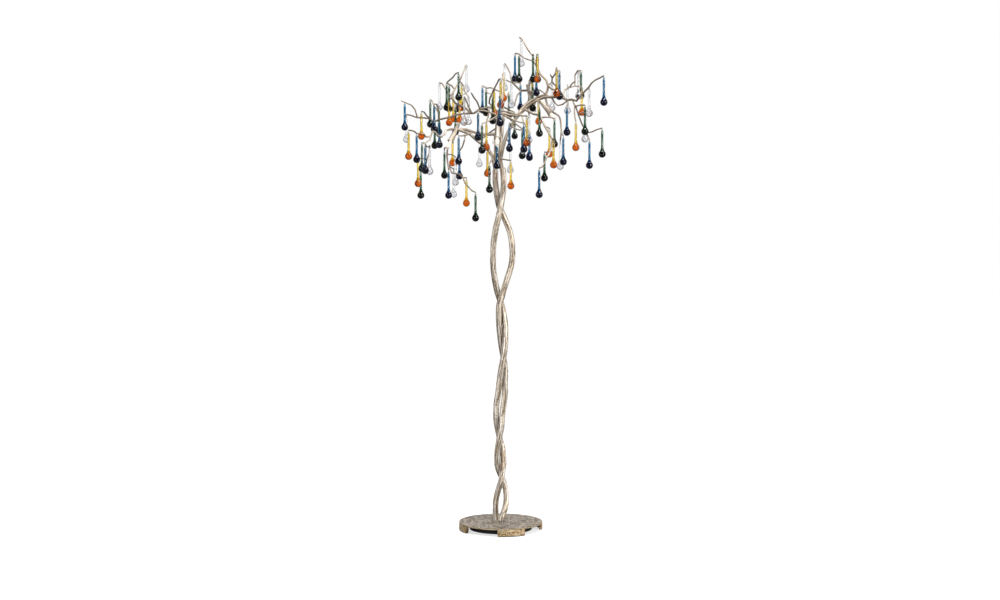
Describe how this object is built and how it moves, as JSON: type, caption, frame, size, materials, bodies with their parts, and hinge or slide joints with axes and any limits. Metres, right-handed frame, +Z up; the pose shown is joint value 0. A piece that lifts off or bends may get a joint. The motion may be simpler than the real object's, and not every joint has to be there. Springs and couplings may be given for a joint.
{
  "type": "tree floor lamp",
  "caption": "Floor lamp like a small tree: round base on segment feet, intertwined stems, a crown of twigs with lamp cups, and hanging glass drops.",
  "frame": {"origin": "on the floor, under the centre of the base and of the crown's box", "axes": "+Z up, +X to the right and +Y away from a viewer in front"},
  "size_m": [0.733, 0.6316, 1.7916],
  "materials": {
    "bark_metal": "aged silver leaf with brown shading in fine lengthwise grooves, satin",
    "cup_metal": "aged silver leaf with brown shading, satin",
    "disc_patina": "pitted grey-brown patina with a pale golden rim, satin",
    "foot_gold": "golden beige with brown pits, satin",
    "black_iron": "black, matt",
    "felt": "dark felt",
    "fixings": "zinc plated",
    "black_plastic": "moulded, matt",
    "white_plastic": "moulded, matt",
    "lead_sheath": "smooth sheath",
    "ceramic": null,
    "bulb_glass": "lit halogen capsule",
    "ring_wire": "darkened wire",
    "glass_blue": "transparent blue, almost black in the ball",
    "glass_green": "transparent green, almost black in the ball",
    "glass_amber": "yellow stem that turns orange-red in the ball",
    "glass_clear": "clear"
  },
  "bodies": {
    "root": {"base_disc": "disc_patina", "ballast_ring": "black_iron", "base_feet": "foot_gold", "foot_pads": "felt", "base_screws": "fixings", "base_cover": "black_iron", "cover_screws": "fixings", "cable_gland": "black_plastic", "terminal_block": "white_plastic", "stem_left": "bark_metal", "stem_right": "bark_metal", "supply_leads": "lead_sheath", "stem_studs": "fixings", "stem_washers": "fixings", "stem_nuts": "fixings", "limb_left": "bark_metal", "limb_right": "bark_metal", "limb_centre": "bark_metal", "limb_front": "bark_metal", "limb_back": "bark_metal", "branch_left_long": "bark_metal", "branch_left_low": "bark_metal", "branch_left_down": "bark_metal", "branch_left_top": "bark_metal", "branch_right_back": "bark_metal", "branch_right_top": "bark_metal", "branch_right_long": "bark_metal", "branch_right_low": "bark_metal", "branch_right_front": "bark_metal", "hanging_rings": "ring_wire", "drops_blue": "glass_blue", "drops_green": "glass_green", "drops_amber": "glass_amber", "drops_clear": "glass_clear", "lamp_cups": "cup_metal", "lamp_sockets": "ceramic"},
    "drop_green_1": {"drop_green_1": "glass_green"},
    "drop_amber_1": {"drop_amber_1": "glass_amber"},
    "drop_blue_1": {"drop_blue_1": "glass_blue"},
    "drop_blue_2": {"drop_blue_2": "glass_blue"},
    "drop_amber_2": {"drop_amber_2": "glass_amber"},
    "drop_blue_3": {"drop_blue_3": "glass_blue"},
    "drop_amber_3": {"drop_amber_3": "glass_amber"},
    "drop_green_2": {"drop_green_2": "glass_green"},
    "drop_blue_4": {"drop_blue_4": "glass_blue"},
    "drop_green_3": {"drop_green_3": "glass_green"},
    "drop_amber_4": {"drop_amber_4": "glass_amber"},
    "drop_blue_5": {"drop_blue_5": "glass_blue"},
    "drop_amber_5": {"drop_amber_5": "glass_amber"},
    "drop_blue_6": {"drop_blue_6": "glass_blue"},
    "drop_green_4": {"drop_green_4": "glass_green"},
    "drop_blue_7": {"drop_blue_7": "glass_blue"},
    "drop_green_5": {"drop_green_5": "glass_green"},
    "drop_blue_8": {"drop_blue_8": "glass_blue"},
    "bulb_left": {"bulb_left": "bulb_glass"},
    "bulb_right": {"bulb_right": "bulb_glass"},
    "bulb_front": {"bulb_front": "bulb_glass"},
    "bulb_rear": {"bulb_rear": "bulb_glass"},
    "bulb_rear_right": {"bulb_rear_right": "bulb_glass"}
  },
  "joints": [
    {"name": "swing_green_1", "type": "hinge", "parent": "root", "child": "drop_green_1", "pos_m": [-0.04012, -0.092, 1.29459], "axis": [0, 1, 0], "range_deg": [-30, 30]},
    {"name": "swing_amber_1", "type": "hinge", "parent": "root", "child": "drop_amber_1", "pos_m": [0.03555, -0.054, 1.31078], "axis": [0, 1, 0], "range_deg": [-30, 30]},
    {"name": "swing_blue_1", "type": "hinge", "parent": "root", "child": "drop_blue_1", "pos_m": [-0.00279, -0.308, 1.49738], "axis": [0, 1, 0], "range_deg": [-30, 30]},
    {"name": "swing_blue_2", "type": "hinge", "parent": "root", "child": "drop_blue_2", "pos_m": [-0.35147, 0.068, 1.53723], "axis": [0, 1, 0], "range_deg": [-30, 30]},
    {"name": "swing_amber_2", "type": "hinge", "parent": "root", "child": "drop_amber_2", "pos_m": [-0.28746, 0.022, 1.49758], "axis": [0, 1, 0], "range_deg": [-15, 30]},
    {"name": "swing_blue_3", "type": "hinge", "parent": "root", "child": "drop_blue_3", "pos_m": [-0.29539, -0.108, 1.39851], "axis": [0, 1, 0], "range_deg": [-15, 30]},
    {"name": "swing_amber_3", "type": "hinge", "parent": "root", "child": "drop_amber_3", "pos_m": [-0.32026, -0.152, 1.40422], "axis": [0, 1, 0], "range_deg": [-30, 30]},
    {"name": "swing_green_2", "type": "hinge", "parent": "root", "child": "drop_green_2", "pos_m": [-0.28545, -0.038, 1.27896], "axis": [0, 1, 0], "range_deg": [-30, 30]},
    {"name": "swing_blue_4", "type": "hinge", "parent": "root", "child": "drop_blue_4", "pos_m": [-0.18695, -0.024, 1.28023], "axis": [0, 1, 0], "range_deg": [-30, 30]},
    {"name": "swing_green_3", "type": "hinge", "parent": "root", "child": "drop_green_3", "pos_m": [-0.08918, -0.086, 1.19434], "axis": [0, 1, 0], "range_deg": [-30, 30]},
    {"name": "swing_amber_4", "type": "hinge", "parent": "root", "child": "drop_amber_4", "pos_m": [-0.12354, -0.016, 1.25246], "axis": [0, 1, 0], "range_deg": [-30, 25]},
    {"name": "swing_blue_5", "type": "hinge", "parent": "root", "child": "drop_blue_5", "pos_m": [0.35323, -0.206, 1.58339], "axis": [0, 1, 0], "range_deg": [-30, 30]},
    {"name": "swing_amber_5", "type": "hinge", "parent": "root", "child": "drop_amber_5", "pos_m": [0.25945, -0.168, 1.43294], "axis": [0, 1, 0], "range_deg": [-30, 30]},
    {"name": "swing_blue_6", "type": "hinge", "parent": "root", "child": "drop_blue_6", "pos_m": [0.31188, -0.096, 1.3792], "axis": [0, 1, 0], "range_deg": [-30, 30]},
    {"name": "swing_green_4", "type": "hinge", "parent": "root", "child": "drop_green_4", "pos_m": [0.35481, -0.12, 1.41583], "axis": [0, 1, 0], "range_deg": [-30, 30]},
    {"name": "swing_blue_7", "type": "hinge", "parent": "root", "child": "drop_blue_7", "pos_m": [0.13184, -0.192, 1.26789], "axis": [0, 1, 0], "range_deg": [-30, 30]},
    {"name": "swing_green_5", "type": "hinge", "parent": "root", "child": "drop_green_5", "pos_m": [0.15255, -0.122, 1.33198], "axis": [0, 1, 0], "range_deg": [-30, 30]},
    {"name": "swing_blue_8", "type": "hinge", "parent": "root", "child": "drop_blue_8", "pos_m": [0.21924, -0.11, 1.38998], "axis": [0, 1, 0], "range_deg": [-30, 30]},
    {"name": "pull_bulb_left", "type": "slide", "parent": "root", "child": "bulb_left", "axis": [-0.3863, -0.223, -0.895], "range_m": [0, 0.014]},
    {"name": "pull_bulb_right", "type": "slide", "parent": "root", "child": "bulb_right", "axis": [0.5192, -0.4835, -0.7047], "range_m": [0, 0.014]},
    {"name": "pull_bulb_front", "type": "slide", "parent": "root", "child": "bulb_front", "axis": [-0.0144, -0.384, -0.9232], "range_m": [0, 0.014]},
    {"name": "pull_bulb_rear", "type": "slide", "parent": "root", "child": "bulb_rear", "axis": [-0.3803, 0.4809, -0.79], "range_m": [0, 0.014]},
    {"name": "pull_bulb_rear_right", "type": "slide", "parent": "root", "child": "bulb_rear_right", "axis": [0.2959, 0.3639, -0.8832], "range_m": [0, 0.014]}
  ]
}
